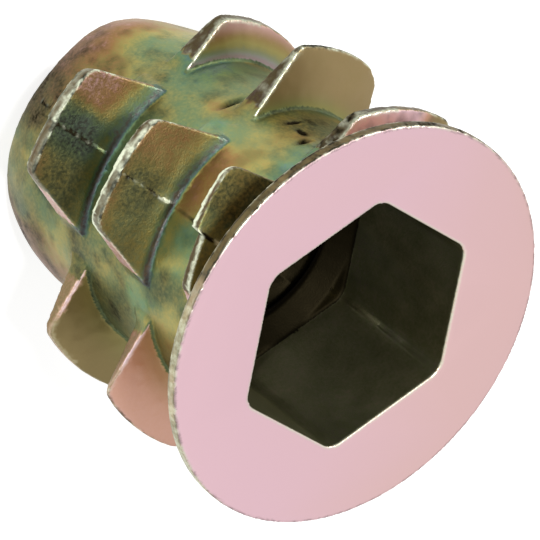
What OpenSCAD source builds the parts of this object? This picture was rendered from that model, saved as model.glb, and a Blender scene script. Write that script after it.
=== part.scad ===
// Flanged insert nut for wood, die-cast in one piece. It stands on its tail end with the flange up.
// The parting plane of the die is X = 0, so its two halves draw apart along X.

/* [Overall] */
// Length from the tail end to the flange face
overall_length = 14; // [13:0.1:18]

/* [Flange] */
// Diameter of the flange
flange_d = 14.6; // [14.4:0.1:20]
// Thickness of the flange at its rim
rim_thickness = 0.4; // [0.3:0.05:0.8]
// Rise of the conical underside from the rim to the shank
underside_rise = 0.6; // [0.3:0.05:1]

/* [Shank] */
// Diameter of the shank under the flange
shank_d = 10.2; // [10:0.1:11]
// Diameter of the shank at the top of the rounded nose
nose_top_d = 9.9; // [9.6:0.1:10.4]
// Diameter of the nose at the tail end
nose_end_d = 8.7; // [8:0.1:9]
// Length of the rounded nose
nose_length = 2.8; // [1.5:0.1:3.5]

/* [Drive and bore] */
// Size of the hexagon socket across its flats
hex_flats = 8; // [7.2:0.1:8.4]
// Depth of the hexagon socket
hex_depth = 5.5; // [4:0.1:7]
// Depth of the cone from the socket's floor to the bore
socket_cone = 0.7; // [0.3:0.1:1.5]
// Tapping diameter of the bore, which takes a machine screw thread
bore_d = 6.8; // [5:0.1:7]
// Chamfer of the bore at the tail end
bore_chamfer = 0.35; // [0.2:0.05:0.45]

/* [Outer thread] */
// Rise of the thread in one turn
pitch = 3.75; // [3:0.05:5]
// Height at which the first fin's upper flank meets the shank
first_flank_z = 4.2; // [3.5:0.1:5]
// Diameter over the fins on the parting plane
parting_fin_d = 14.4; // [13:0.1:14.5]
// Diameter over the fins that face along X
side_fin_d = 14.2; // [13:0.1:14.5]
// Thickness at the shank of a fin on the parting plane
parting_fin_root = 1.24; // [0.8:0.02:1.5]
// Thickness at the crest of a fin on the parting plane
parting_fin_crest = 0.44; // [0.3:0.02:0.6]
// Fall of the upper flank of a parting-plane fin, from the shank to the crest
parting_fin_fall = 0.8; // [0.4:0.05:0.9]
// Thickness at the shank of a fin that faces along X
side_fin_root = 0.9; // [0.7:0.02:1.5]
// Thickness at the crest of a fin that faces along X
side_fin_crest = 0.2; // [0.16:0.02:0.6]
// Shift towards the front of the side fins' crest circles
side_crest_shift = 0.25; // [0:0.05:0.5]
// How far the first fin's crest falls short of full height at its middle
lead_in = 0.9; // [0.3:0.05:1.2]
// Number of fins over which the side fins grow to full height
lead_in_fins = 3.2; // [1:0.1:4]
// Sideways shift of the first fin's crest circle, which slopes its crest
lead_in_shift = 0.6; // [0:0.05:1]
// How far the last fin's crest falls short of full height at its middle
run_out = 0.35; // [0.1:0.05:0.6]
// Sideways shift of the last two crest circles, which slopes their crests
run_out_shift = 1.1; // [0:0.05:1.3]

/* [Fin ends] */
// Reach of a parting-plane fin's crest towards its lower end
parting_low_half = 2.15; // [1.4:0.05:2.4]
// Reach of a parting-plane fin's crest towards its higher end
parting_high_half = 1.85; // [1.4:0.05:2.4]
// Extra reach of the last fin's crest towards its lower end
last_low_reach = 0.3; // [0:0.05:0.3]
// Half width of a parting-plane fin at the shank
parting_root_half = 2.75; // [2.5:0.05:3]
// Reach of a side fin's crest towards the front
front_crest_half = 3.1; // [2.4:0.05:3.3]
// Reach of a side fin's root towards the front
front_root_half = 3.55; // [3.4:0.05:3.7]
// Reach of a side fin's crest towards the back
back_crest_half = 1.5; // [1.3:0.05:2]
// Reach of a side fin's root towards the back
back_root_half = 1.95; // [1.8:0.05:2.6]
// Radius of the corners between a crest and its ends
corner_r = 0.6; // [0.2:0.05:0.8]

/* [Hidden] */
$fn = 96;
overlap = 0.5;
// Cuts pass each other by this much, so that no skin is left between them
cut_pass = 0.01;
corner_steps = 8;
crest_facets = 180;
nose_facets = 360;
// The corner arc stands this far proud of the crest, so that the two cross cleanly
corner_proud = 0.01;

shank_r = shank_d / 2;
flange_r = flange_d / 2;
bore_r = bore_d / 2;
nose_top_r = nose_top_d / 2;
nose_end_r = nose_end_d / 2;
underside_z = overall_length - rim_thickness - underside_rise;
socket_floor_z = overall_length - hex_depth;
hex_corner_r = hex_flats / 2 / cos(30);

// The nose is an arc that meets the shank upright
nose_fall = nose_top_r - nose_end_r;
nose_arc_r = (nose_length ^ 2 + nose_fall ^ 2) / (2 * nose_fall);

// One fin stands in each quarter turn, from the nose to just under the flange
quarter_rise = pitch / 4;
last_fin = floor((underside_z - first_flank_z) / quarter_rise);
full_r = max(parting_fin_d, side_fin_d) / 2;
lead_angle = atan(pitch / (PI * (full_r + shank_r)));

function unit(v) = v / norm(v);
function direction(v) = atan2(v.y, v.x);

// Centre of the corner arc, inside the end line from root to crest and inside the crest circle
function corner_centre(root, crest, inward, crest_r, crest_y) =
    let (
        along = unit(crest - root),
        start = root + corner_r * inward - [0, crest_y],
        reach = crest_r - corner_r + corner_proud,
        half_b = start * along,
        step = -half_b + sqrt(half_b ^ 2 - start * start + reach ^ 2)
    )
    start + step * along + [0, crest_y];

// Corner points of one fin end, from the end line out to the crest; side is 1 or -1
function end_points(root_x, root_half, crest_half, side, crest_r, crest_y) =
    let (
        root = [root_x, side * root_half],
        crest = [sqrt(crest_r ^ 2 - (side * crest_half - crest_y) ^ 2), side * crest_half],
        along = unit(crest - root),
        inward = side * [along.y, -along.x],
        centre = corner_centre(root, crest, inward, crest_r, crest_y),
        from = direction(-inward),
        to = direction(centre - [0, crest_y])
    )
    [
        root + (root - crest),
        for (i = [0:corner_steps])
            let (angle = from + (to - from) * i / corner_steps)
            centre + corner_r * [cos(angle), sin(angle)]
    ];

function reversed(list) = [for (i = [len(list) - 1:-1:0]) list[i]];

// Upright outline of the flange, shank and nose
module blank_profile() {
    polygon([
        [0, 0],
        [nose_end_r, 0],
        [nose_top_r, nose_length],
        [shank_r, underside_z],
        [flange_r, overall_length - rim_thickness],
        [flange_r, overall_length],
        [0, overall_length]
    ]);
    intersection() {
        square([nose_top_r, nose_length]);
        translate([nose_top_r - nose_arc_r, nose_length]) circle(nose_arc_r, $fn = nose_facets);
    }
}

module blank() {
    rotate_extrude() blank_profile();
}

// Hexagon socket with corners on the parting plane, over the through bore
module socket_and_bore() {
    translate([0, 0, socket_floor_z])
        rotate(90)
            cylinder(r = hex_corner_r, h = hex_depth + overlap, $fn = 6);
    translate([0, 0, socket_floor_z - socket_cone])
        cylinder(r1 = bore_r, r2 = hex_flats / 2, h = socket_cone + cut_pass);
    translate([0, 0, -overlap])
        cylinder(r = bore_r, h = socket_floor_z + overlap);
    translate([0, 0, -cut_pass])
        cylinder(r1 = bore_r + bore_chamfer + cut_pass, r2 = bore_r, h = bore_chamfer + cut_pass);
}

// Disc with the flanks of the thread, tilted to the lead of the thread at +X.
// Its upper flank meets the shank at the origin's height and falls towards the crest.
module thread_disc(root, crest, fall) {
    depth = full_r - shank_r;
    inner = bore_r + overlap;
    outer = full_r + overlap;
    upper_slope = -fall / depth;
    lower_slope = (root - crest - fall) / depth;
    inner_step = inner - shank_r;
    outer_step = outer - shank_r;
    translate([0, 0, -root / 2])
        rotate([lead_angle, 0, 0])
            rotate_extrude()
                polygon([
                    [inner, lower_slope * inner_step - root / 2],
                    [outer, lower_slope * outer_step - root / 2],
                    [outer, upper_slope * outer_step + root / 2],
                    [inner, upper_slope * inner_step + root / 2]
                ]);
}

// Outline from above of a fin at +X, cut by the drafted faces of the die
module fin_outline(crest_r, crest_y, right_root, right_crest, left_root, left_crest) {
    right = end_points(sqrt(shank_r ^ 2 - right_root ^ 2), right_root, right_crest, -1, crest_r, crest_y);
    left = end_points(sqrt(shank_r ^ 2 - left_root ^ 2), left_root, left_crest, 1, crest_r, crest_y);
    intersection() {
        polygon(concat(right, [[flange_r * 2, 0]], reversed(left)));
        translate([0, crest_y]) circle(crest_r, $fn = crest_facets);
    }
}

// One fin at +X: index counts the quarter turns from the nose
module fin(index) {
    on_parting = index % 2 == 1;
    front_is_left = index % 4 == 0;
    runs_out = index > last_fin - 2;
    lead_in_lost = on_parting ? 0 : lead_in * max(0, 1 - index / lead_in_fins);
    height_lost = index == last_fin ? run_out : lead_in_lost;
    front_shift = on_parting ? 0 : side_crest_shift * (front_is_left ? 1 : -1);
    crest_y = index == 0 ? lead_in_shift : runs_out ? -run_out_shift : front_shift;
    crest_r = (on_parting ? parting_fin_d : side_fin_d) / 2 - height_lost;
    front = [front_root_half, front_crest_half];
    back = [back_root_half, back_crest_half];
    low = [parting_root_half, parting_low_half + (index == last_fin ? last_low_reach : 0)];
    high = [parting_root_half, parting_high_half];
    left = on_parting ? high : front_is_left ? front : back;
    right = on_parting ? low : front_is_left ? back : front;
    intersection() {
        if (on_parting && !runs_out)
            thread_disc(parting_fin_root, parting_fin_crest, parting_fin_fall);
        else if (on_parting)
            thread_disc(side_fin_root, side_fin_crest, parting_fin_fall);
        else
            thread_disc(side_fin_root, side_fin_crest, (side_fin_root - side_fin_crest) / 2);
        linear_extrude(pitch, center = true)
            fin_outline(crest_r, crest_y, right[0], right[1], left[0], left[1]);
    }
}

// Right-hand thread, broken into one fin for each quarter turn
module fins() {
    for (index = [0:last_fin])
        translate([0, 0, first_flank_z + index * quarter_rise])
            rotate(180 + 90 * index)
                fin(index);
}

module insert_nut() {
    color("darkkhaki")
        difference() {
            union() {
                blank();
                fins();
            }
            socket_and_bore();
        }
}

insert_nut();
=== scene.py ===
# %% [markdown]
# A flanged insert nut for wood, die-cast in zinc and passivated to a rainbow yellow.
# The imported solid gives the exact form. This lesson adds what a casting has and a solid model lacks:
# soft edges, the seam of the die, a cut thread in the bore, cast grain, and a film with its colours.

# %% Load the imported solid
import itertools
import math

import bmesh
import bpy
import numpy as np
from mathutils import Matrix, Vector


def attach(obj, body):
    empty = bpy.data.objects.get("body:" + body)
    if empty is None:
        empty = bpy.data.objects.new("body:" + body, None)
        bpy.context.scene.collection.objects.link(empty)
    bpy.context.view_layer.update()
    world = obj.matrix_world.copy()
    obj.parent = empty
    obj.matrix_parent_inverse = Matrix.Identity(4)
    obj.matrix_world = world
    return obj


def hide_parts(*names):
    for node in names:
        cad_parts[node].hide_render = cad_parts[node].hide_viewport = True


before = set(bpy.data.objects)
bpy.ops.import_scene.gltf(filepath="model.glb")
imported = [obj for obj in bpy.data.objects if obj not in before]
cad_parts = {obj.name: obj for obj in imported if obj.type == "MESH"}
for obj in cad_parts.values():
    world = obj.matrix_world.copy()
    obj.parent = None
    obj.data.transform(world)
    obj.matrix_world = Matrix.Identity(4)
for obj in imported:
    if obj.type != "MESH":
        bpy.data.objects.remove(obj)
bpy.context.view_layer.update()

MM = 1000.0
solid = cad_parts["insert_nut"]

# %% [markdown]
# The main sizes of the solid, in millimetres, say where each finish belongs.
# They repeat the part's own driving values, so the looks stay on the form.

# %% Sizes of the insert
flange_z = 14.0
flange_r = 7.3
underside_z = 13.0
shank_r = 5.1
nose_length = 2.8
socket_floor_z = 8.5
cone_foot_z = 7.8
bore_r = 3.4
pitch = 3.75
first_flank_z = 4.2
fin_count = 10
fin_height = 2.1
seam_fin_fall = 0.8
side_fin_fall = 0.35

# %% [markdown]
# A casting has no knife edges. A bevel would need clean edge loops, which the crossings of fins and
# shank don't give. Here a copy of the solid is remeshed into even small squares, and then smoothed,
# so that every edge rounds over by about a tenth of a millimetre.
# The copy is in millimetres while it is worked on, since Remesh has a smallest voxel of 0.1 mm in metres.

# %% Copy the solid and remesh it
voxel = 0.06
merge_gap = 0.0005
edge_softening = 5
edge_reading = 14


def millimetre_copy(node, name):
    shape = bmesh.new()
    shape.from_mesh(node.data)
    bmesh.ops.scale(shape, vec=(MM, MM, MM), verts=shape.verts)
    bmesh.ops.remove_doubles(shape, verts=shape.verts, dist=merge_gap)
    mesh = bpy.data.meshes.new(name)
    shape.to_mesh(mesh)
    shape.free()
    piece = bpy.data.objects.new(name, mesh)
    bpy.context.scene.collection.objects.link(piece)
    return piece


def apply_modifiers(piece):
    rough_mesh = piece.data
    depsgraph = bpy.context.evaluated_depsgraph_get()
    piece.data = bpy.data.meshes.new_from_object(piece.evaluated_get(depsgraph))
    piece.modifiers.clear()
    bpy.data.meshes.remove(rough_mesh)


def places(mesh):
    flat = np.empty(len(mesh.vertices) * 3, np.float32)
    mesh.vertices.foreach_get("co", flat)
    return flat.reshape(-1, 3).astype(float)


def set_places(mesh, points):
    mesh.vertices.foreach_set("co", points.astype(np.float32).ravel())
    mesh.update()


def directions(mesh):
    flat = np.empty(len(mesh.vertices) * 3, np.float32)
    mesh.vertex_normals.foreach_get("vector", flat)
    return flat.reshape(-1, 3).astype(float)


def smooth(piece, steps):
    soften = piece.modifiers.new("soften", "SMOOTH")
    soften.factor = 0.5
    soften.iterations = steps
    apply_modifiers(piece)


casting = millimetre_copy(solid, "insert_casting")
grid = casting.modifiers.new("grid", "REMESH")
grid.mode = "VOXEL"
grid.voxel_size = voxel
apply_modifiers(casting)
smooth(casting, edge_softening)
print("remeshed into", len(casting.data.polygons), "squares")

# %% [markdown]
# The edges, which take wear and painted highlights, and the creases, which take painted shade, both follow
# the curve of the surface. Smoothing a second time pulls edges in and fills creases, so the way each point
# would move tells which of the two it is.

# %% Read the edges and creases
soft_points = places(casting.data)
outward = directions(casting.data)
smooth(casting, edge_reading)
pull = ((places(casting.data) - soft_points) * outward).sum(axis=1)
set_places(casting.data, soft_points)
edge_scale = 0.03


def store(mesh, name, values):
    layer = mesh.attributes.get(name) or mesh.attributes.new(name, "FLOAT", "POINT")
    layer.data.foreach_set("value", values.astype(np.float32))


def stored(mesh, name):
    values = np.empty(len(mesh.vertices), np.float32)
    mesh.attributes[name].data.foreach_get("value", values)
    return values.astype(float)


store(casting.data, "edge", np.clip(-pull / edge_scale, 0, 1))
store(casting.data, "crease", np.clip(pull / edge_scale, 0, 1))
print("strongest pull in", round(-pull.min(), 3), "mm and out", round(pull.max(), 3), "mm")

# %% [markdown]
# Cast surfaces are never quite even. This helper gives soft random values in patches of a chosen size.
# It draws from a seeded table, so each run gives the same casting. The table repeats on all sides, and
# counting from many tables below keeps every cell number above zero.

# %% Random patches
table_side = 32
tables_below = 100


def ramp(values, low, high):
    part = np.clip((values - low) / (high - low), 0, 1)
    return part * part * (3 - 2 * part)


def patches(points, size, seed):
    table = np.random.default_rng(seed).uniform(-1, 1, (table_side,) * 3)
    cell = points / size + table_side * tables_below
    low = np.floor(cell).astype(int)
    part = cell - low
    part = part * part * (3 - 2 * part)
    total = np.zeros(len(points))
    for corner in itertools.product((0, 1), repeat=3):
        index = (low + corner) % table_side
        weight = np.where(np.array(corner) == 1, part, 1 - part).prod(axis=1)
        total += weight * table[index[:, 0], index[:, 1], index[:, 2]]
    return total


# %% [markdown]
# The screw thread in the bore is cut after casting. A spun thread joined by a boolean would make long
# thin faces, so the even squares of the bore are pushed out into a running groove instead.

# %% Cut the bore thread
thread_pitch = 1.25
thread_depth = 0.5
thread_start_z = 0.35
thread_lead = 0.2
thread_run_out = 0.5
groove_top = 1.25
groove_slope = 3.0
bore_margin = 0.25
cone_margin = 0.2
axis_gap = 0.1


def around(points):
    return np.arctan2(points[:, 1], points[:, 0])


def radius(points):
    return np.hypot(points[:, 0], points[:, 1])


def move_out(points, reach, amount):
    points[:, :2] *= (1 + amount / np.maximum(reach, axis_gap))[:, None]


points = places(casting.data)
reach = radius(points)
height = points[:, 2]
in_bore = (reach < bore_r + bore_margin) & (height < cone_foot_z + cone_margin)
turn = height / thread_pitch - around(points) / (2 * math.pi)
groove = np.clip(groove_top - groove_slope * np.abs(turn - np.floor(turn) - 0.5), 0, 1)
ends = ramp(height, thread_start_z - thread_lead, thread_start_z + thread_run_out)
ends = ends * (1 - ramp(height, cone_foot_z - thread_run_out, cone_foot_z))
push = np.where(in_bore, thread_depth * groove * ends, 0)
move_out(points, reach, push)
set_places(casting.data, points)
print("bore thread moved", int((push > 0.01).sum()), "points")

# %% [markdown]
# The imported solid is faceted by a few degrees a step, which would show in a metal's reflections. The points
# of the shank and nose are put back on their true radius, an arc on the nose and a slight taper above it.

# %% True up the shank
nose_end_r = 4.35
nose_top_r = 4.95
nose_fall = nose_top_r - nose_end_r
nose_arc_r = (nose_length ** 2 + nose_fall ** 2) / (2 * nose_fall)
facet_gap = 0.02
tail_edge = 0.15


def shank_radius(height):
    below = np.clip(nose_length - height, 0, nose_length)
    on_nose = nose_top_r - nose_arc_r + np.sqrt(nose_arc_r ** 2 - below ** 2)
    above = np.clip((height - nose_length) / (underside_z - nose_length), 0, 1)
    return on_nose + (shank_r - nose_top_r) * above


points = places(casting.data)
reach = radius(points)
miss = shank_radius(points[:, 2]) - reach
faceted = (np.abs(miss) < facet_gap) & (points[:, 2] > tail_edge)
move_out(points, reach, np.where(faceted, miss, 0))
set_places(casting.data, points)
print("trued", int(faceted.sum()), "points of the shank")

# %% [markdown]
# The thread is broken into ten fins, one to a quarter turn, each higher than the last by a quarter pitch.
# This helper finds which fin is nearest to each point, and where on that fin the point is.

# %% Find the nearest fin
fin_half = 0.5
last_row = 2
last_fin = fin_count - 1


def nearest_fin(points):
    swing = np.degrees(around(points))
    quarter = np.round((swing - 180) / 90).astype(int) % 4
    from_middle = (swing - 90 * quarter) % 360 - 180
    level = points[:, 2] - pitch * from_middle / 360 - first_flank_z - quarter * pitch / 4
    row = np.clip(np.round((level + fin_half) / pitch), 0, last_row).astype(int)
    fin = np.clip(quarter + 4 * row, 0, last_fin)
    rise = np.clip(radius(points) - shank_radius(points[:, 2]), 0, fin_height)
    fall = np.where(fin % 2 == 1, seam_fin_fall, side_fin_fall) * rise / fin_height
    below_flank = pitch * row - level - fall
    return fin, from_middle, below_flank


# %% [markdown]
# Some fin ends lean in towards the tail, so that the die can leave them: one end of each fin on the seam, and
# the front ends of the fins on the right, the upper one most. From above, only the edge of such an end shows.
# The points near these ends move in, more so lower down.

# %% Draft the fin ends
end_lean = 0.42
end_depth = 1.3
end_start = 0.9
end_full = 2.0
end_band = (-0.6, 1.6)
right_lean = 0.07
right_depth = 0.9
right_start = 1.9
right_full = 3.0
right_band = (-0.4, 1.4)
lean_rise = 0.35
flange_gap = 0.2


def within(values, band):
    return (values > band[0]) & (values < band[1])


points = places(casting.data)
fin, from_middle, below_flank = nearest_fin(points)
grown = ramp(radius(points) - shank_radius(points[:, 2]), 0.0, lean_rise)
free = points[:, 2] < underside_z - flange_gap
near_fin = (fin % 2 == 1) & within(below_flank, end_band) & free
lean = end_lean * np.clip(below_flank, 0, end_depth)
lean = lean * ramp(-points[:, 0], end_start, end_full) * grown * near_fin
points[:, 0] += lean
on_right = (fin % 4 == 2) & within(below_flank, right_band) & free
right_move = right_lean * fin * np.clip(below_flank, 0, right_depth)
right_move = right_move * ramp(-points[:, 1], right_start, right_full) * grown * on_right
points[:, 1] += right_move
set_places(casting.data, points)
print("end draft moved points by up to", round(max(lean.max(), right_move.max()), 2), "mm")

# %% [markdown]
# A few forms are rounder or lower on the real casting than in the solid. On the fins these are the back
# corners of the full side fins and one half of the last fin. Each is a move by a few tenths of a millimetre
# at most. Moves towards the axis are only worked out here. The next cell makes them, together with its own.

# %% Fit the fins
back_rounding = 0.34
back_start = 3
back_full = 15
last_half_loss = 0.17
fit_gap = 0.1

points = places(casting.data)
fin, from_middle, below_flank = nearest_fin(points)
reach = radius(points)
height = points[:, 2]
rise = reach - shank_radius(height)
below_flange = height < underside_z - fit_gap
front = np.where(fin % 4 == 0, from_middle, -from_middle)
full_side_fin = (fin % 2 == 0) & (fin > 0) & (fin < last_fin - 1) & below_flange
moved = back_rounding * ramp(-front, back_start, back_full) * ramp(rise, 0.5, 2.0) * full_side_fin
last_half = (fin == last_fin) & below_flange & (rise > 0.05)
lost = last_half_loss * rise * ramp(points[:, 0], -0.02, 0.03) * last_half
points[:, 2] += lost * seam_fin_fall / fin_height
print("back corners in by", round(moved.max(), 2), "mm, last half fin by", round(lost.max(), 2), "mm")

# %% [markdown]
# The nose bulges a little on one side and dips beside that. The pin that forms the socket has rounded
# corners, so the socket's six corners become arcs that run tangent into the flats.

# %% Fit the nose and the socket corners
nose_bulge = 0.28
bulge_angle = -132
bulge_width = 21
nose_dip = 0.08
dip_angle = -168
dip_width = 12
nose_gap = 0.08
hex_half = 4.0
hex_corner_r = 0.70
corner_fade = 0.6

swing = np.degrees(around(points))
fuller = nose_bulge * np.exp(-((swing - bulge_angle) / bulge_width) ** 2) * (1 - ramp(height, 0.6, 2.4))
slimmer = nose_dip * np.exp(-((swing - dip_angle) / dip_width) ** 2) * (1 - ramp(height, 1.5, 3.2))
bulge = (fuller - slimmer) * (np.abs(rise) < nose_gap)
from_corner = np.radians(swing % 60 - 30)
arc_centre = (hex_half - hex_corner_r) / math.cos(math.pi / 6)
arc_part = np.sqrt(np.clip(hex_corner_r ** 2 - (arc_centre * np.sin(from_corner)) ** 2, 0, None))
corner_reach = arc_centre * np.cos(from_corner) + arc_part
arc_end = math.atan2(hex_corner_r / 2, arc_centre + hex_corner_r * math.cos(math.pi / 6))
hex_reach = hex_half / np.cos(math.pi / 6 - np.abs(from_corner))
in_corner = (np.abs(from_corner) < arc_end) & (height > socket_floor_z - fit_gap) & (reach > hex_half)
nearby = 1 - ramp(reach, hex_reach, hex_reach + corner_fade)
filled = np.where(in_corner, (hex_reach - corner_reach) * nearby, 0)
move_out(points, reach, bulge - moved - lost - filled)
set_places(casting.data, points)
print("nose out by", round(bulge.max(), 2), "mm, socket corners in by", round(filled.max(), 2), "mm")

# %% [markdown]
# The two halves of the die meet on the plane X = 0. They never line up quite, so the fins step there,
# and a thread of metal creeps into the joint. Both are small moves of the points near that plane.
# At the front, near the flange, the joint gaped more, so the flash there is nearly unbroken.

# %% Mark the seam of the die
seam_step = 0.06
seam_softness = 0.04
flash_height = 0.04
flash_width = 0.05
flash_from_r = 4.2
flash_from_y = 3
open_seam_z = 8.75


def seam_is_open(points):
    return (points[:, 1] < 0) & (points[:, 2] > open_seam_z)


points = places(casting.data)
reach = radius(points)
height = points[:, 2]
on_fins = ramp(reach, shank_r - 0.1, shank_r + 0.2) * (1 - ramp(height, underside_z - 0.4, underside_z - 0.1))
seam_side = ramp(points[:, 0], -seam_softness, seam_softness)
fade = 1 - ramp(np.abs(points[:, 0]), 1.2, 2.6)
points[:, 2] += seam_step * on_fins * seam_side * fade
outside = (reach > flash_from_r) & (height < underside_z) & (np.abs(points[:, 1]) > flash_from_y)
flash = flash_height * np.exp(-(points[:, 0] / flash_width) ** 2) * outside
open_flash = 0.5 + 0.5 * ramp(patches(points, 0.2, 3), -0.2, 0.4)
closed_flash = ramp(patches(points, 0.3, 3), 0.2, 0.7)
flash *= np.where(seam_is_open(points), open_flash, closed_flash)
points += flash[:, None] * directions(casting.data)
points[:, 2] = np.clip(points[:, 2], 0, flange_z)
set_places(casting.data, points)
print("seam raised", int((flash > 0.01).sum()), "points")

# %% [markdown]
# Cast grain, a few pits and the nicked rim give the highlights their broken look. Fine grain could be
# left to the material's bump alone, but a real dent also changes the outline and the exported mesh.

# %% Roughen the casting
grain_depth = 0.006
rim_nick_depth = 0.03
rough_depth = 0.07
shank_outside_r = 4.75
nose_outside_r = 4.1
dent_from_r = 4.5
rough_from_r = 4.8
# Angle, height, half width, half height and depth of each dent
dents = [
    (-137, 6.95, 0.42, 0.10, 0.22),
    (-149, 9.0, 0.24, 0.09, 0.14),
    (-147, 9.7, 0.10, 0.20, 0.12),
    (-143.5, 10.25, 0.24, 0.10, 0.16),
    (-146, 11.0, 0.14, 0.24, 0.16),
]
# Angle, height, half width and half height
rough_patch = (-151, 11.2, 0.75, 0.6)


def dent_shape(points, angle, level, wide, tall):
    aside = ((np.degrees(around(points)) - angle + 180) % 360 - 180) * math.pi / 180 * shank_r
    along = points[:, 2] - level
    return np.exp(-((aside / wide) ** 2) - (along / tall) ** 2)


def pitting(points):
    return patches(points, 0.24, 22) + 0.6 * patches(points, 0.12, 23)


points = places(casting.data)
outward = directions(casting.data)
reach = radius(points)
height = points[:, 2]
outside = (reach > shank_outside_r) | ((height < nose_length) & (reach > nose_outside_r))
face = (height > flange_z - 0.1) & (outward[:, 2] > 0.8)
grain = patches(points, 0.35, 11) + 0.6 * patches(points, 0.16, 12)
relief = grain_depth * np.clip(grain, -1, 1) * (outside & ~face & (reach < flange_r - 0.15))
points -= relief[:, None] * outward
for angle, level, wide, tall, deep in dents:
    dent = deep * dent_shape(points, angle, level, wide, tall) * (reach > dent_from_r)
    move_out(points, reach, -dent)
rough = dent_shape(points, *rough_patch) * (reach > rough_from_r) * (height < underside_z - fit_gap)
hollows = rough_depth * rough * np.clip(pitting(points), 0, 1)
move_out(points, reach, -hollows)
at_rim = (reach > flange_r - 0.12) * ramp(height, flange_z - 0.35, flange_z - 0.1)
rim_in_front = 0.25 + 0.75 * ramp(-points[:, 1] - 0.5 * points[:, 0], -1.0, 4.0)
nicks = rim_nick_depth * at_rim * rim_in_front * ramp(patches(points, 0.13, 21), 0.0, 0.8)
move_out(points, reach, -nicks)
points[:, 2] = np.clip(points[:, 2], 0, flange_z)
set_places(casting.data, points)
print("deepest rim nick", round(nicks.max(), 3), "mm")

# %% [markdown]
# The even squares are far too many where the surface is plain. Decimate collapses those first,
# and keeps the rounded edges fine.

# %% Thin the mesh
most_triangles = 190000

thin = casting.modifiers.new("thin", "DECIMATE")
thin.ratio = most_triangles / (2 * len(casting.data.polygons))
apply_modifiers(casting)
casting.data.shade_smooth()
print("kept", len(casting.data.polygons), "faces")

# %% [markdown]
# The film of the passivation has no paint in it. It shows the colours of thin layers, like oil on water.
# Where it stayed thin it is olive, tan, salmon or pink, and where it pooled it runs through orange, yellow,
# green and teal to violet. Each point gets a number for either kind, and a share that says which one shows.

# %% Find the fin, flank and shank of each point
socket_wall_r = 4.85
bore_wall_r = 4.15
face_up = 0.5
flank_up = 0.6
crest_rise = 1.5
last_crest_rise = 1.0
end_angle = 12

points = places(casting.data)
outward = directions(casting.data)
edge = stored(casting.data, "edge")
crease = stored(casting.data, "crease")
reach = radius(points)
height = points[:, 2]
swing = np.degrees(around(points))
rise = reach - shank_radius(height)

fin, from_middle, below_flank = nearest_fin(points)
on_parting = fin % 2 == 1

inside = np.where(height > socket_floor_z - 0.8, reach < socket_wall_r, reach < bore_wall_r)
inside = inside & (height < flange_z - 0.04)
on_face = (height > flange_z - 0.12) & (outward[:, 2] > face_up) & ~inside
on_flange = (height > underside_z - 0.05) & ~inside & ~on_face
in_fillet = (rise < 0.35) & (np.abs(outward[:, 2]) < flank_up)
on_fin = (rise > 0.10) & ~in_fillet & ~inside & ~on_flange & ~on_face
on_flank = on_fin & (outward[:, 2] > flank_up)
under_flank = on_fin & (outward[:, 2] < -flank_up)
on_side = on_fin & ~on_flank & ~under_flank
end_line = ramp(edge, 0.08, 0.35) * (1 - ramp(below_flank, 0.10, 0.24))
on_crest = on_side & on_parting & (rise > np.where(fin == last_fin, last_crest_rise, crest_rise))
far_end = on_side & on_parting & ~on_crest & (from_middle > end_angle)
front = np.where(fin % 4 == 0, from_middle, -from_middle)
front_end = on_side & ~on_parting & (front > end_angle)
right_fin = fin % 4 == 2
print("points on flanks", int(on_flank.sum()), "sides", int(on_side.sum()), "face", int(on_face.sum()))

# %% [markdown]
# Each fin left the bath with its own film. The fins that face along X are plain tan, olive or salmon. The
# first of them, and the fins on the seam, carry a pooled film that thickens towards the root.

# %% Lay the film on the fins
first_left_fin = 0
first_front_fin = 1
middle_front_fin = 5
last_left_fin = 8
grey_film = 0.88
foot_film = 0.82
far_foot_film = 0.09
first_root_film = 0.86
far_half_limit = 0.50
# One number for each fin, from the nose up
thin_on_fin = np.array([0.80, 0.34, 0.32, 0.30, 0.44, 0.34, 0.71, 0.30, 0.88, 0.30])
pooled_share = np.array([0.60, 0.80, 0.00, 0.80, 0.00, 0.72, 0.00, 0.80, 0.35, 0.85])
pool_flow = np.array([0.80, 0.70, 0.15, 0.60, 0.30, 0.44, 0.15, 0.60, 0.40, 0.60])
pool_base = np.array([0.00, 0.12, 0.00, 0.12, 0.00, 0.20, 0.00, 0.12, 0.00, 0.36])

wander = patches(points, 1.6, 41) + 0.5 * patches(points, 0.7, 42)
ripple = patches(points, 0.45, 43)
depth = np.exp(-np.clip(rise, 0, None) / pool_flow[fin])
far_half = np.where(on_parting, ramp(from_middle, -11, -1), 0)
base = pool_base[fin] + 0.34 * far_half * ramp(-rise, -2.6, -1.4)
flank_pool = np.clip(base + (1 - base) * depth + 0.07 * wander, 0, 1)
flank_pool = np.where(far_half > 0.5, np.minimum(flank_pool, far_half_limit), flank_pool)
on_first_front = fin == first_front_fin
grey_seam = ramp(-np.abs(from_middle + 1), -11, -3) * ramp(rise, 0.2, 0.8) * on_first_front
flank_pool = flank_pool + 0.7 * grey_seam * (grey_film - flank_pool)
pink_end = ramp(-from_middle, 6, 13) * ramp(rise, 0.4, 1.0) * on_first_front
flank_pool = flank_pool - pink_end * (0.10 + 0.10 * wander)
foot = ramp(-rise, -0.34, -0.12) * on_parting
flank_pool = flank_pool + foot * (foot_film + far_foot_film * far_half - flank_pool)
plain_fin = ~on_parting & (fin > first_left_fin)
flank_pool = np.where(plain_fin, np.where(right_fin, 0.42, 0.54) + 0.1 * wander, flank_pool)
flank_thin = thin_on_fin[fin] - np.where(fin == last_left_fin, 0.46 * ramp(-front, -4, 6), 0)
root_reach = np.where(right_fin, 0.7, 0.38)
root_share = np.where(right_fin, 0.45, 0.95) * np.exp(-(np.clip(rise, 0, None) / root_reach) ** 2)
flank_share = np.where(plain_fin, root_share, pooled_share[fin])
on_first_left = fin == first_left_fin
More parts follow.
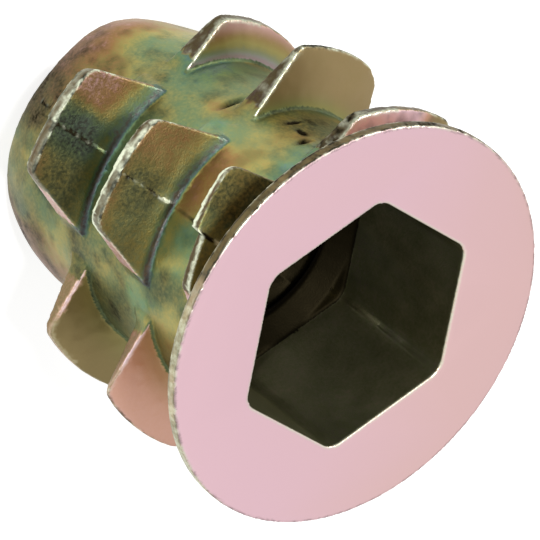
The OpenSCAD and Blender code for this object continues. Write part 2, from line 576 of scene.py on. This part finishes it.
flank_share = np.where(on_first_left, 0.25 + 0.70 * ramp(-rise, -1.3, -0.8), flank_share)
first_root = ramp(-rise, -0.55, -0.15)
first_pool = np.minimum(0.85 * flank_pool, 0.43)
first_pool = first_pool + first_root * (first_root_film - first_pool)
flank_pool = np.where(on_first_left, first_pool, flank_pool)
flank_share = np.where(on_first_left, flank_share - 0.35 * first_root, flank_share)
side_thin = np.where(on_parting, 0.42, np.where(right_fin, 0.50, 0.16)) + 0.08 * wander
side_thin = np.where(far_end, 0.78, side_thin)
seen_pool = flank_pool[on_flank]
print("film on the flanks from", round(seen_pool.min(), 2), "to", round(seen_pool.max(), 2))

# %% [markdown]
# On the shank the film ran along the axis between the rows of fins, and pooled in bands of green, yellow
# and teal. A few pools are listed by angle and height, and the rest follows from random patches.

# %% Lay the film on the shank and nose
# Angle, height, size, film and shade of each pool. The shade darkens, partly as the shank's own tone and
# partly as painted shade, and a negative shade paints light in
nose_pools = [
    (-152, 1.0, 1.0, 0.28, 0.12),
    (-140, 1.0, 0.8, 0.06, 0.04),
    (-126, 1.0, 0.8, 0.12, 0.20),
    (-113, 0.8, 0.9, 0.13, 0.44),
    (-96, 0.6, 0.9, 0.30, 0.60),
    (-85, 1.2, 0.4, 0.42, 0.85),
    (-73, 1.2, 0.5, 0.47, 0.30),
    (-63, 0.8, 0.7, 0.46, -0.25),
    (-55, 1.4, 0.7, 0.52, 0.42),
    (-47, 1.5, 0.4, 0.85, 0.55),
    (-41, 1.8, 0.7, 0.22, 0.55),
    (-27, 2.3, 1.0, 0.10, 0.58),
    (-148, 2.4, 0.8, 0.53, 0.05),
    (-135, 2.5, 0.7, 0.64, 0.20),
    (-126, 2.7, 0.6, 0.46, 0.28),
    (-39, 2.7, 0.6, 0.36, 1.10),
    (-118, 2.4, 0.5, 0.25, 0.42),
]
left_pools = [
    (-129, 4.1, 0.5, 0.46, 0.38),
    (-143, 4.8, 0.7, 0.88, 0.38),
    (-131, 5.0, 0.6, 0.62, 0.30),
    (-148, 6.0, 0.9, 0.58, 0.24),
    (-126, 5.9, 0.6, 0.53, 0.24),
    (-117, 5.4, 0.5, 0.46, 0.38),
    (-134, 6.65, 0.35, 0.20, 0.18),
    (-134, 7.5, 0.35, 0.30, 0.50),
    (-133, 8.0, 0.35, 0.58, 0.28),
    (-126, 7.9, 0.45, 0.68, 0.02),
    (-132, 8.5, 0.5, 0.60, 0.00),
    (-134, 9.5, 0.6, 0.46, 0.00),
    (-126, 9.9, 0.7, 0.37, 0.03),
    (-138, 10.7, 0.45, 0.74, 0.20),
    (-130, 10.5, 0.35, 0.46, -0.05),
    (-127, 11.4, 0.4, 0.76, 0.05),
    (-149, 9.1, 1.0, 0.46, 0.70),
    (-146, 9.9, 0.3, 0.14, 0.15),
    (-114, 9.2, 0.6, 0.19, 0.18),
]
right_pools = [
    (-100, 9.3, 0.6, 0.16, -0.35),
    (-80, 9.6, 0.7, 0.50, -0.25),
    (-84, 10.1, 0.4, 0.76, 0.25),
    (-73, 9.3, 0.5, 0.40, -0.70),
    (-62, 9.9, 0.5, 0.52, 0.55),
    (-85, 5.4, 0.6, 0.62, -0.10),
    (-103, 5.4, 0.5, 0.62, 0.05),
    (-57, 9.7, 0.6, 0.56, 0.74),
    (-56, 2.8, 0.7, 0.60, 0.38),
    (-44, 3.6, 0.7, 0.45, 0.00),
    (-34, 3.4, 0.6, 0.24, 0.25),
    (-49, 5.2, 0.6, 0.50, 0.58),
    (-53, 6.6, 0.6, 0.50, 0.40),
    (-47, 6.9, 0.4, 0.43, 0.08),
    (-36, 7.0, 0.9, 0.52, 0.62),
    (-48, 9.0, 0.6, 0.65, 0.02),
    (-49, 10.5, 0.5, 0.41, 0.00),
    (-38, 10.0, 0.7, 0.40, 0.28),
]
band_length = 3.5
band_start_z = 2.3
random_weight = 0.15
pool_weight = 2
pool_spread = 0.8
root_film = 0.58
bands = np.sin(2 * math.pi * (height - band_start_z) / band_length + 2.2 * wander)
weight = np.full(len(points), random_weight)
shank_pool = weight * (0.52 + 0.13 * bands)
shank_shade = weight * 0.25
shift = 5 * wander
for angle, level, size, film, shade in nose_pools + left_pools + right_pools:
    aside = np.radians((swing + 0.6 * shift - angle + 180) % 360 - 180) * shank_r
    along = height + 0.05 * shift - level
    nearness = np.exp(-(aside ** 2 + along ** 2) / (2 * (pool_spread * size) ** 2)) * pool_weight
    shank_pool = shank_pool + nearness * film
    shank_shade = shank_shade + nearness * shade
    weight = weight + nearness
fine = patches(points, 0.22, 44)
shank_pool = np.clip(shank_pool / weight + 0.06 * ripple + 0.05 * fine, 0, 1)
shank_shade = shank_shade / weight
fillet = ramp(outward[:, 2], 0.12, 0.4) * ramp(rise, 0.0, 0.03) * (height > nose_length + 0.3)
root_band = ramp(below_flank, -0.17, -0.07) * (below_flank < 0.3)
root_band = root_band * on_parting * (np.abs(from_middle) < 33)
fillet = np.maximum(fillet, 0.75 * root_band)
fillet_film = np.where(on_parting, foot_film + far_foot_film * far_half, root_film)
shank_pool = shank_pool + fillet * (fillet_film - shank_pool)
# The fillets at the roots get painted shade.
shank_shade = shank_shade + (0.15 - 0.12 * far_half) * fillet
shank_share = np.clip(0.95 + 0.2 * wander, 0.7, 1)
print("film on the shank from", round(shank_pool.min(), 2), "to", round(shank_pool.max(), 2))

# %% [markdown]
# The flange face is an even pink, a little warmer on one side. The rim and the underside keep a thin film,
# and the socket and the bore a thin film with some green in it.

# %% Put the films together
underside_down = 0.45
highlight_pink_film = 0.86

underside = on_flange & (outward[:, 2] < -underside_down)
flange_thin = np.where(underside, 0.56, 0.40 + 0.15 * wander)
face_thin = 0.90 - 0.06 * ramp(points[:, 1] - 0.3 * points[:, 0], -1.0, 6.0)
surfaces = [on_face, inside, on_flange, on_flank, under_flank, on_side]
thin_film = np.select(
    surfaces,
    [face_thin, 0.38 + 0.12 * wander, flange_thin, flank_thin, 0.34 + 0.10 * wander, side_thin],
    0.30 + 0.10 * wander,
)
pooled = np.select(surfaces, [0.0, 0.72, 0.3, flank_pool, 0.4 + 0.2 * wander, 0.2], shank_pool)
socket_share = np.clip(0.35 + 0.2 * wander, 0, 1)
share = np.select(surfaces, [0.0, socket_share, 0.1, flank_share, 0.3, 0.15], shank_share)
# A pink line on the front end edges of the right fins is a painted highlight.
pink_highlight_line = end_line * (on_fin & right_fin & (front > end_angle)) * (1 - 0.8 * ramp(rise, 1.1, 1.6))
thin_film = thin_film + pink_highlight_line * (highlight_pink_film - thin_film)
share = share * (1 - pink_highlight_line)
store(casting.data, "thin_film", np.clip(thin_film, 0, 1))
store(casting.data, "pooled_film", pooled)
store(casting.data, "pooled_share", share)
print("pooled film shows on", int((share > 0.5).sum()), "of", len(points), "points")

# %% [markdown]
# Dirt sits in the socket and on the grainy flanks of the seam, and painted shade darkens the bore, those
# flanks, the nose and the shank. Both become a number on each point as well, here chosen for each kind of
# surface.

# %% Choose the stain and painted shade of the surfaces
# The bore is darkened as painted shade, deep in the socket.
bore_painted_shade = 1.30
# One number for each fin, from the nose up
stain_and_shade_on_fin = np.array([0.0, 0.74, 0.0, 0.60, 0.0, 0.66, 0.0, 0.60, 0.0, 0.70])
seam_stain_on_fin = np.array([0.0, 0.07, 0.0, 0.0, 0.0, 0.08, 0.0, 0.0, 0.0, 0.0])

on_middle_front = fin == middle_front_fin
near_seam = ramp(-np.abs(from_middle), -9, -2) * ramp(rise, 0.3, 0.9)
outer_end = ramp(rise, 1.2, 1.9) * ramp(-from_middle, 5, 9)
low_end = np.where(on_first_front, 0.28, 0.12) * ramp(-from_middle, 4, 13)
# The flanks of the seam fins are darkened, partly as grainy dirt and partly as painted shade under the flange
# and the fin above; the darkening eases towards the root.
flank_stain_and_shade = stain_and_shade_on_fin[fin] - on_parting * low_end
flank_stain_and_shade = flank_stain_and_shade - on_parting * (0.35 + 0.30 * far_half) * ramp(-rise, -0.9, -0.1)
flank_stain_and_shade = flank_stain_and_shade + seam_stain_on_fin[fin] * near_seam
flank_stain_and_shade = flank_stain_and_shade + np.where(on_first_front, 0.10 * outer_end, 0)
flank_stain_and_shade = flank_stain_and_shade + np.where(fin == last_fin, 0.17 - 0.40 * far_half, 0)
flank_stain_and_shade = flank_stain_and_shade - np.where(on_middle_front, 0.12 * ramp(from_middle, 6, 14), 0)
# The sides of the fins are darkened, most on the crests of the seam fins and on the front ends.
side_darkening = np.where(on_parting, np.where(on_crest, 0.72, 0.40), np.where(front_end, 0.62, 0.30))
side_darkening = np.where(front_end & right_fin, 0.38, np.where(far_end, 0.20, side_darkening))
in_bore = inside & (height < socket_floor_z + 0.1)
# One stretch of the rim carries a painted highlight: less darkening there, and the pale zinc colour.
painted_rim_highlight = ramp(swing, -88, -68) * (1 - ramp(swing, -15, 5))
flange_darkening_and_highlight = np.where(underside, 0.10, 0.70 - 0.40 * painted_rim_highlight + 0.25 * patches(points, 0.3, 53))
smudges = ramp(patches(points, 0.7, 51) + 0.7 * patches(points, 0.3, 52), 0.0, 0.9)
flank_stain_and_shade = flank_stain_and_shade + np.where(fin == last_left_fin, 0.5 * smudges, 0)
# The nose gets painted shade, darker towards the tail end.
nose_shade = 0.20 * (1 - ramp(height, 0.2, 2.0))
shank_stain_and_shade = nose_shade + shank_shade + 0.26 * smudges
# The bore takes its painted shade, and the socket walls random dirt.
inside_stain_and_shade = np.where(in_bore, bore_painted_shade, 0.01 + 0.45 * ramp(wander + 0.6 * ripple, -0.2, 0.7))
# The faces of the fins that look towards the tail are darkened.
under_darkening = np.where(on_parting, 0.15, 0.45)
stain_and_shade = np.select(
    surfaces,
    [0.0, inside_stain_and_shade, flange_darkening_and_highlight, flank_stain_and_shade, under_darkening, side_darkening],
    shank_stain_and_shade,
)
print("stain on the surfaces up to", round(stain_and_shade.max(), 2))

# %% [markdown]
# Painted shade darkens the creases, the dents and the pits. More dirt gathers along the seam and where the
# rim is chipped.

# %% Add the painted shade of creases, dents and pits, and the dirt of seam and rim
seam_width = 0.06
dent_shade = 0.8
dent_spread = 1.1
dent_to_r = 5.4

# Painted shade in the creases.
stain_and_shade = stain_and_shade + crease * np.where(on_parting, 0.05, np.where(on_flank, 0.0, 0.14))
# Painted shade in the dents.
for angle, level, wide, tall, deep in dents:
    dent_shading = dent_shape(points, angle, level, dent_spread * wide, dent_spread * tall)
    stain_and_shade = stain_and_shade + dent_shade * dent_shading * (reach < dent_to_r)
# Painted shade in the pits of the rough patch.
rough = dent_shape(points, *rough_patch) * (reach > rough_from_r) * (height < underside_z)
hollow = pitting(points)
stain_and_shade = stain_and_shade + 0.6 * rough * ramp(hollow, -0.1, 0.5)
stain_and_shade = stain_and_shade * (1 - pink_highlight_line)
on_seam = np.exp(-(points[:, 0] / seam_width) ** 2) * ~inside * (height < underside_z)
open_seam = seam_is_open(points)
open_dirt = 0.9 * ramp(patches(points, 0.3, 66), -0.6, 0.0)
seam_dirt = np.where(open_seam, open_dirt, 0.28 * ramp(ripple, -0.5, 0.2))
stain_and_shade = stain_and_shade + on_seam * seam_dirt
lumps = patches(points, 0.22, 64) + 0.5 * patches(points, 0.1, 65)
chipped = 0.15 + 0.75 * ramp(lumps, -0.3, 0.35)
stain_and_shade = stain_and_shade + 0.6 * (1 - chipped) * ramp(edge, 0.2, 0.5) * (reach > flange_r - 0.2)
store(casting.data, "stain_and_shade", np.clip(stain_and_shade, 0, None))
print("dark stain on", int((stain_and_shade > 0.7).sum()), "points")

# %% [markdown]
# Handling bares the zinc on the edges, and the same pale colour paints highlights there: on the rim, round
# the socket's mouth and at the ends of the fins. How strong an edge is comes from the smoothing at the start.

# %% Mark the worn edges and the painted highlights
rim_width = 0.3
socket_mouth_r = 4.9
mouth_depth = 0.3

sharp = ramp(edge, 0.35, 0.9)
wide = ramp(edge, 0.15, 0.6)
front_rim = ramp(-points[:, 1] - 0.4 * points[:, 0], -4.0, 3.0)
wear_and_highlight = 0.35 * sharp
wear_and_highlight = np.where(on_parting & on_fin, 0.42 * sharp, wear_and_highlight)
side_end = on_fin & ~on_parting & (front > end_angle)
# At the front ends of the side fins the pale line is partly wear and partly painted highlight.
wear_and_highlight = np.where(side_end, np.where(right_fin, 0.25, 0.62) * end_line, wear_and_highlight)
wear_and_highlight = np.where(far_end, 0.55 * wide, wear_and_highlight)
# The rim is paler on its front, partly as wear and partly as painted highlight.
rim_wear_and_highlight = ramp(edge, 0.25, 0.75) * chipped * (0.15 + 0.85 * front_rim)
wear_and_highlight = np.where(reach > flange_r - rim_width, rim_wear_and_highlight, wear_and_highlight)
# The painted rim highlight also lays the pale zinc colour on the rim.
wear_and_highlight = np.where(on_flange & ~underside, np.maximum(wear_and_highlight, painted_rim_highlight * (0.25 + 0.35 * chipped)), wear_and_highlight)
# The pale ring round the socket's mouth is a painted highlight.
wear_and_highlight = np.where((reach < socket_mouth_r) & (height > flange_z - mouth_depth), 0.8 * wide, wear_and_highlight)
wear_and_highlight = np.where(inside & (height < flange_z - mouth_depth), 0, wear_and_highlight)
print("edges worn on", int((wear_and_highlight > 0.5).sum()), "points so far")

# %% [markdown]
# The crests of the fins on the seam carry a painted highlight, a bright band broken in places, and the seam
# has bright specks. The last number, the grain, says how rough and mottled the material may be. Then the mesh
# goes back to metres, in the solid's own place.

# %% Mark the painted highlights on the crests, and the grain
# The bright band on the crests and the lines on the last fin are painted highlights.
low_half = ramp(-points[:, 0], -0.05, 0.05)
broken = ramp(patches(points, 0.25, 61) + 0.8 * patches(points, 0.12, 62), -0.9, 0.1)
band_top = np.where(on_first_front, 0.08, 0.16)
band_foot = np.where(on_first_front, 0.20, 0.28)
upper_band = 1 - ramp(below_flank, band_top, band_foot)
upper_band = 0.95 * upper_band * (0.25 + 0.75 * low_half) * broken
lower_share = np.where(on_middle_front, 1.7 * ramp(from_middle, -10, -3), 0.3)
lower_line = ramp(below_flank, 0.20, 0.30) * lower_share
outer_part = ramp(below_flank, 0.11, 0.17)
inner_line = 1 - ramp(below_flank, 0.06, 0.11)
whole = 1.5 * low_half * outer_part + 0.9 * (1 - low_half) * inner_line
crest_highlight = np.where(fin == last_fin, whole, np.maximum(upper_band, lower_line))
wear_and_highlight = np.where(on_crest, np.maximum(wear_and_highlight, crest_highlight), wear_and_highlight)
wear_and_highlight = np.maximum(wear_and_highlight, 0.5 * rough * ramp(-hollow, 0.1, 0.6))
end_specks = ramp(patches(points, 0.11, 68) + 0.5 * patches(points, 0.2, 69), 0.15, 0.7)
wear_and_highlight = np.maximum(wear_and_highlight, 0.26 * end_specks * (front_end & ~right_fin))
open_specks = 1.3 * ramp(patches(points, 0.26, 67), 0.0, 0.3)
closed_specks = 0.25 * ramp(patches(points, 0.14, 63), 0.1, 0.5)
wear_and_highlight = np.maximum(wear_and_highlight, on_seam * np.where(open_seam, open_specks, closed_specks))
store(casting.data, "wear_and_highlight", wear_and_highlight)
grainy = (on_parting & on_fin) | front_end
grain_marks = np.select(
    [on_face, grainy, on_flank, inside],
    [0.0, np.where(on_flank, 0.6, 1.0), 0.04, 0.5],
    0.35,
)
store(casting.data, "grain", grain_marks)
casting.data.transform(Matrix.Scale(1 / MM, 4))
casting.data.update()
print("edges worn on", int((wear_and_highlight > 0.5).sum()), "points")

# %% [markdown]
# The material is a metal whose colour comes from the film numbers through two colour ramps. Thin-film
# settings of the shader were another way, but they tint only the gloss of plastics, and a ramp keeps each
# colour where it was seen. Noise breaks up the film, the stain and painted shade, and the roughness.

# %% Film colours
thin_colours = [
    (0.00, "#3A3220"),
    (0.22, "#706542"),
    (0.43, "#9E8A5E"),
    (0.68, "#CC9C82"),
    (0.84, "#E6C0BE"),
    (0.94, "#EAC4D4"),
]
pooled_colours = [
    (0.00, "#C79C98"),
    (0.12, "#A57A58"),
    (0.22, "#A07A48"),
    (0.40, "#A69C58"),
    (0.56, "#7E8E5E"),
    (0.68, "#6C8C68"),
    (0.78, "#64847A"),
    (0.88, "#62666A"),
    (1.00, "#5A4E46"),
]
# The pale zinc of worn edges is also the colour of the painted highlights.
bare_zinc_and_highlight = "#DEE4CA"
# One dark colour for both stain and painted shade.
stain_and_shade_colour = "#1E1A10"
# A dark tint of the gloss, painted shade in the reflections where the darkening is strongest, mostly in the
# bore.
shaded_gloss_colour = "#6A5C3C"


def linear(code):
    parts = [int(code[i:i + 2], 16) / 255 for i in (1, 3, 5)]
    return [p / 12.92 if p < 0.04045 else ((p + 0.055) / 1.055) ** 2.4 for p in parts] + [1.0]


# %% [markdown]
# A material is a tree of nodes. These helpers each add one node, feed its sockets with a constant or a link,
# and give back its output, so that the tree further down reads like a sum.

# %% Material helpers
def new_material(name):
    material = bpy.data.materials.new(name)
    material.use_nodes = True
    material.node_tree.nodes.clear()
    return material, material.node_tree


def add(tree, kind, **settings):
    made = tree.nodes.new(kind)
    for name, value in settings.items():
        setattr(made, name, value)
    return made


def feed(tree, socket, value):
    if isinstance(value, bpy.types.NodeSocket):
        tree.links.new(value, socket)
    else:
        socket.default_value = value


def calculate(tree, operation, first, second):
    made = add(tree, "ShaderNodeMath", operation=operation)
    feed(tree, made.inputs[0], first)
    feed(tree, made.inputs[1], second)
    return made.outputs[0]


def blend_colour(tree, amount, first, second):
    made = add(tree, "ShaderNodeMix", data_type="RGBA")
    feed(tree, made.inputs[0], amount)
    feed(tree, made.inputs[6], first)
    feed(tree, made.inputs[7], second)
    return made.outputs[2]


def number_on_points(tree, name):
    return add(tree, "ShaderNodeAttribute", attribute_name=name).outputs["Fac"]


def noise(tree, where, size_mm, detail=3.0):
    made = add(tree, "ShaderNodeTexNoise")
    tree.links.new(where, made.inputs["Vector"])
    made.inputs["Scale"].default_value = MM / size_mm
    made.inputs["Detail"].default_value = detail
    return made.outputs["Fac"]


def between(tree, value, low, high, to_low, to_high):
    made = add(tree, "ShaderNodeMapRange")
    feed(tree, made.inputs["Value"], value)
    feed(tree, made.inputs["From Min"], low)
    feed(tree, made.inputs["From Max"], high)
    feed(tree, made.inputs["To Min"], to_low)
    feed(tree, made.inputs["To Max"], to_high)
    return made.outputs["Result"]


def colour_ramp(tree, value, colours):
    made = add(tree, "ShaderNodeValToRGB")
    stops = made.color_ramp.elements
    while len(stops) > 1:
        stops.remove(stops[-1])
    stops[0].position = colours[0][0]
    stops[0].color = linear(colours[0][1])
    for position, code in colours[1:]:
        stops.new(position).color = linear(code)
    tree.links.new(value, made.inputs["Fac"])
    return made.outputs["Color"]


# %% [markdown]
# The two ramps are mixed by the share of pooled film. Stain and painted shade then darken the colour and dull
# the gloss, and wear and painted highlights bare the zinc. The bump is as fine as the mesh or finer, and only
# breaks up the highlights.

# %% Build the chromated zinc
bump_height = 0.00002
metal_share = 0.9
clean_roughness = 0.36
stained_roughness = 0.55

zinc, tree = new_material("chromated_zinc")
where = add(tree, "ShaderNodeTexCoord").outputs["Object"]
cloud = noise(tree, where, 0.8)
speck = noise(tree, where, 0.12, 4.0)
grain_here = number_on_points(tree, "grain")
unrest = between(tree, cloud, 0.3, 0.7, -0.07, 0.07)
mottle = between(tree, speck, 0.3, 0.7, -0.14, 0.14)
change = calculate(tree, "MULTIPLY", calculate(tree, "ADD", unrest, mottle), grain_here)
thin_here = calculate(tree, "ADD", number_on_points(tree, "thin_film"), change)
pooled_here = calculate(tree, "ADD", number_on_points(tree, "pooled_film"), change)
film = blend_colour(
    tree,
    number_on_points(tree, "pooled_share"),
    colour_ramp(tree, thin_here, thin_colours),
    colour_ramp(tree, pooled_here, pooled_colours),
)

# Stain and painted shade darken the film towards the dark colour.
stain_and_shade_unrest = between(tree, speck, 0.35, 0.65, 0.86, 1.14)
stain_and_shade_here = calculate(tree, "MULTIPLY", number_on_points(tree, "stain_and_shade"), stain_and_shade_unrest)
stained_and_shaded = blend_colour(tree, stain_and_shade_here, film, linear(stain_and_shade_colour))
# Wear and painted highlights lay on the pale zinc colour.
wear_and_highlight_unrest = between(tree, speck, 0.35, 0.6, 0.5, 1.0)
wear_and_highlight_here = calculate(tree, "MULTIPLY", number_on_points(tree, "wear_and_highlight"), wear_and_highlight_unrest)
worn_and_highlighted = blend_colour(tree, wear_and_highlight_here, stained_and_shaded, linear(bare_zinc_and_highlight))

bumps = add(tree, "ShaderNodeBump")
bumps.inputs["Distance"].default_value = bump_height
tree.links.new(noise(tree, where, 0.06, 2.0), bumps.inputs["Height"])
tree.links.new(calculate(tree, "MULTIPLY", grain_here, 0.8), bumps.inputs["Strength"])

metal = add(tree, "ShaderNodeBsdfPrincipled")
metal.inputs["Metallic"].default_value = metal_share
tree.links.new(worn_and_highlighted, metal.inputs["Base Color"])
# Where the darkening is strongest, mostly in the bore, the gloss takes the dark tint as painted shade.
shaded_gloss_tint = blend_colour(tree, between(tree, stain_and_shade_here, 0.8, 1.1, 0, 1), (1, 1, 1, 1), linear(shaded_gloss_colour))
tree.links.new(shaded_gloss_tint, metal.inputs["Specular Tint"])
unevenness = calculate(tree, "MULTIPLY", between(tree, cloud, 0.3, 0.7, -0.08, 0.08), grain_here)
dullness = between(tree, stain_and_shade_here, 0.0, 1.0, clean_roughness, stained_roughness)
tree.links.new(calculate(tree, "ADD", unevenness, dullness), metal.inputs["Roughness"])
tree.links.new(bumps.outputs["Normal"], metal.inputs["Normal"])
output = add(tree, "ShaderNodeOutputMaterial")
tree.links.new(metal.outputs["BSDF"], output.inputs["Surface"])

casting.data.materials.clear()
casting.data.materials.append(zinc)
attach(casting, "root")
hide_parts("insert_nut")
print("chromated zinc has", len(tree.nodes), "nodes")

# %% [markdown]
# The part stands on its tail on a plain pale floor. The camera and mirror rays see the floor as near white,
# as in a light tent, and the diffuse share of it still takes the part's soft shadow.

# %% Floor and surroundings
floor_size = 1.2
floor_grey = 0.5
floor_glow = 0.8
tent_light = 0.55

floor_shape = bmesh.new()
bmesh.ops.create_grid(floor_shape, x_segments=8, y_segments=8, size=floor_size / 2)
floor_mesh = bpy.data.meshes.new("floor")
floor_shape.to_mesh(floor_mesh)
floor_shape.free()
floor = bpy.data.objects.new("floor", floor_mesh)
bpy.context.scene.collection.objects.link(floor)


def seen_directly(tree):
    rays = add(tree, "ShaderNodeLightPath")
    either = calculate(tree, "MAXIMUM", rays.outputs["Is Camera Ray"], rays.outputs["Is Glossy Ray"])
    return calculate(tree, "MAXIMUM", either, rays.outputs["Is Transmission Ray"])


paper, tree = new_material("floor_paper")
matt = add(tree, "ShaderNodeBsdfDiffuse")
matt.inputs["Color"].default_value = (floor_grey, floor_grey, floor_grey, 1)
glow = add(tree, "ShaderNodeEmission")
tree.links.new(calculate(tree, "MULTIPLY", seen_directly(tree), floor_glow), glow.inputs["Strength"])
both = add(tree, "ShaderNodeAddShader")
tree.links.new(matt.outputs[0], both.inputs[0])
tree.links.new(glow.outputs[0], both.inputs[1])
output = add(tree, "ShaderNodeOutputMaterial")
tree.links.new(both.outputs[0], output.inputs["Surface"])
floor_mesh.materials.append(paper)

world = bpy.data.worlds.new("light_tent")
world.use_nodes = True
tree = world.node_tree
tree.nodes.clear()
sky = add(tree, "ShaderNodeBackground")
tree.links.new(between(tree, seen_directly(tree), 0, 1, tent_light, 1.0), sky.inputs["Strength"])
output = add(tree, "ShaderNodeOutputWorld")
tree.links.new(sky.outputs[0], output.inputs["Surface"])
bpy.context.scene.world = world
print("floor", floor_size, "m wide")

# %% [markdown]
# A soft key light near the camera catches the rounded edges, one on the left lights the sides of the fins,
# and a wide, weak softbox behind lights the flange.

# %% Lights
flange_centre = Vector((0, 0, flange_z / MM))


def softbox(name, side, rise_angle, distance, size, power):
    lamp = bpy.data.lights.new(name, "AREA")
    lamp.shape = "DISK"
    lamp.size = size
    lamp.energy = power
    lamp_object = bpy.data.objects.new(name, lamp)
    bpy.context.scene.collection.objects.link(lamp_object)
    turn = math.radians(side)
    climb = math.radians(rise_angle)
    out = Vector((math.cos(climb) * math.cos(turn), math.cos(climb) * math.sin(turn), math.sin(climb)))
    lamp_object.location = flange_centre + distance * out
    lamp_object.rotation_euler = (-out).to_track_quat("-Z", "Y").to_euler()


softbox("key", side=-110, rise_angle=58, distance=0.4, size=0.07, power=1.2)
softbox("left", side=170, rise_angle=35, distance=0.4, size=0.10, power=0.6)
softbox("right", side=52, rise_angle=56, distance=0.4, size=0.30, power=0.05)
print("three softboxes aim at", [round(v * MM, 1) for v in flange_centre])

# %% [markdown]
# The camera looks down on the flange from in front, through a long lens, and is rolled well over, since
# the photographed part leans. Its place follows from where the flange's centre lies in the picture.

# %% Camera
picture_side = 540
flange_centre_x = 356.9
flange_centre_y = 326.2
flange_radius_pixels = 223.35
camera_rise = math.radians(42.66)
camera_swing = math.radians(6.35)
camera_roll = math.radians(127.9)
camera_distance = 0.292
sensor = 36.0

camera_data = bpy.data.cameras.new("camera")
camera_data.sensor_width = sensor
flange_radius = flange_r / MM
camera_data.lens = sensor * flange_radius_pixels * camera_distance / (flange_radius * picture_side)
camera_data.clip_start = 0.01
camera_data.clip_end = 10
camera = bpy.data.objects.new("camera", camera_data)
bpy.context.scene.collection.objects.link(camera)
look = Vector((
    math.sin(camera_swing) * math.cos(camera_rise),
    math.cos(camera_swing) * math.cos(camera_rise),
    -math.sin(camera_rise),
))
level = look.to_track_quat("-Z", "Y").to_matrix()
turned = level @ Matrix.Rotation(camera_roll, 3, "Z")
metres_per_pixel = flange_radius / flange_radius_pixels
right = (flange_centre_x - picture_side / 2) * metres_per_pixel
down = (flange_centre_y - picture_side / 2) * metres_per_pixel
camera.location = flange_centre - camera_distance * look - turned @ Vector((right, -down, 0))
camera.rotation_euler = turned.to_euler()
bpy.context.scene.camera = camera
bpy.context.scene.view_settings.view_transform = "Standard"
print("lens", round(camera_data.lens, 1), "mm, roll", round(math.degrees(camera_roll), 1))
